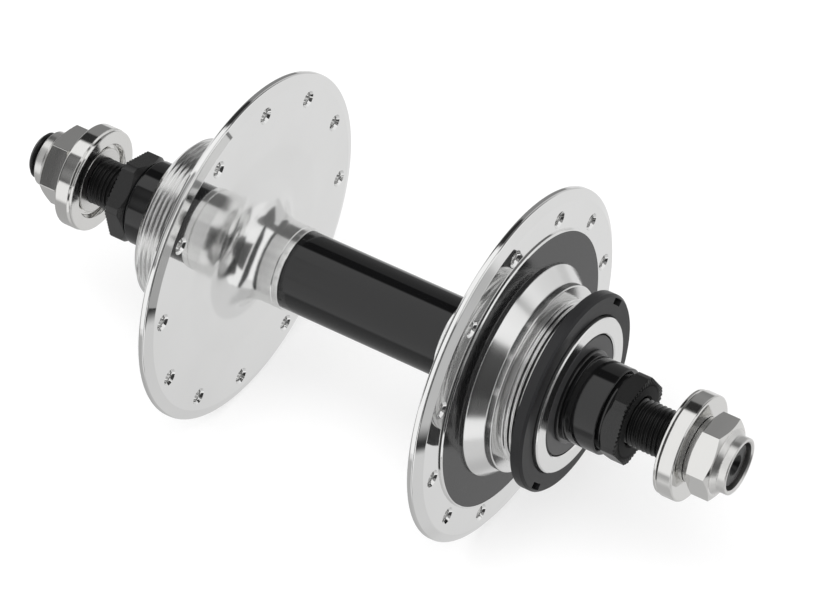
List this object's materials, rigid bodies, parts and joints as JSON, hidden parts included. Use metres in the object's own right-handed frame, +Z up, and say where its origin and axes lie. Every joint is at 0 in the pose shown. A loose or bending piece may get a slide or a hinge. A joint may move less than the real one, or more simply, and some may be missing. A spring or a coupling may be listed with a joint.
{
  "type": "bicycle rear track hub",
  "caption": "High-flange rear track hub: polished flanges on a black tube, threaded bosses, a lockring, a threaded axle and captive-washer axle nuts.",
  "frame": {"origin": "on the axle line, midway between the two locknut faces, within half a millimetre of the box's centre", "axes": "+Y along the axle towards the left side, the drive side and its lockring at -Y, +Z up"},
  "size_m": [0.0754, 0.1647, 0.0754],
  "materials": {
    "polished_aluminium": "mirror polished",
    "plain_aluminium": "as machined",
    "black_gloss_tube": "gloss black anodised",
    "black_trim": "satin dark grey anodised",
    "black_lockring": "satin black anodised",
    "grey_cover": "satin dark grey anodised",
    "black_gloss_cap": "gloss black anodised",
    "black_axle_steel": "black oxide, oiled",
    "black_locknut": "black oxide, satin",
    "bright_washer": "bright nickel plate",
    "bright_nut": "bright nickel plate",
    "bearing_steel": "ground",
    "bearing_balls": "polished",
    "cage_plastic": "moulded nylon",
    "seal_rubber": "matte"
  },
  "bodies": {
    "axle_set": {"axle": "black_axle_steel", "bearing_spacer": "plain_aluminium", "drive_bearing_inner_ring": "bearing_steel", "left_bearing_inner_ring": "bearing_steel", "drive_dust_cover": "grey_cover", "left_dust_cover": "grey_cover", "drive_end_cap": "black_gloss_cap", "left_end_cap": "black_gloss_cap", "drive_locknut": "black_locknut", "left_locknut": "black_locknut"},
    "shell": {"drive_flange": "polished_aluminium", "left_flange": "polished_aluminium", "centre_tube": "black_gloss_tube", "flange_trim_ring": "black_trim", "drive_bearing_outer_ring": "bearing_steel", "left_bearing_outer_ring": "bearing_steel", "drive_bearing_inner_seal": "seal_rubber", "left_bearing_inner_seal": "seal_rubber", "drive_bearing_outer_seal": "seal_rubber", "left_bearing_outer_seal": "seal_rubber"},
    "cog_lockring": {"lockring": "black_lockring"},
    "drive_ball_set": {"drive_bearing_balls": "bearing_balls", "drive_bearing_cage": "cage_plastic"},
    "left_ball_set": {"left_bearing_balls": "bearing_balls", "left_bearing_cage": "cage_plastic"},
    "drive_captive_washer": {"drive_washer": "bright_washer"},
    "left_captive_washer": {"left_washer": "bright_washer"},
    "drive_axle_nut": {"drive_track_nut": "bright_nut"},
    "left_axle_nut": {"left_track_nut": "bright_nut"}
  },
  "joints": [
    {"name": "hub_spin", "type": "hinge", "parent": "axle_set", "child": "shell", "pos_m": [0, 0, 0], "axis": [0, 1, 0], "continuous": true},
    {"name": "drive_cage_turn", "type": "hinge", "parent": "axle_set", "child": "drive_ball_set", "pos_m": [0, -0.041, 0], "axis": [0, 1, 0], "continuous": true},
    {"name": "left_cage_turn", "type": "hinge", "parent": "axle_set", "child": "left_ball_set", "pos_m": [0, 0.041, 0], "axis": [0, 1, 0], "continuous": true},
    {"name": "lockring_slide", "type": "slide", "parent": "shell", "child": "cog_lockring", "axis": [0, -1, 0], "range_m": [0, 0.045]},
    {"name": "drive_washer_slide", "type": "slide", "parent": "axle_set", "child": "drive_captive_washer", "axis": [0, -1, 0], "range_m": [-0.0094, 0.0121]},
    {"name": "left_washer_slide", "type": "slide", "parent": "axle_set", "child": "left_captive_washer", "axis": [0, 1, 0], "range_m": [-0.0068, 0.0153]},
    {"name": "drive_nut_turn", "type": "hinge", "parent": "drive_captive_washer", "child": "drive_axle_nut", "pos_m": [0, -0.0775, 0], "axis": [0, -1, 0], "range_deg": [-3348, 4320]},
    {"name": "left_nut_turn", "type": "hinge", "parent": "left_captive_washer", "child": "left_axle_nut", "pos_m": [0, 0.0749, 0], "axis": [0, 1, 0], "range_deg": [-2412, 5472]}
  ],
  "couplings": [
    {"joint": "drive_cage_turn", "follows": "hub_spin", "ratio": 0.63228},
    {"joint": "left_cage_turn", "follows": "hub_spin", "ratio": 0.63228},
    {"joint": "drive_washer_slide", "follows": "drive_nut_turn", "m_per_rad": 0.00015915},
    {"joint": "left_washer_slide", "follows": "left_nut_turn", "m_per_rad": 0.00015915}
  ]
}
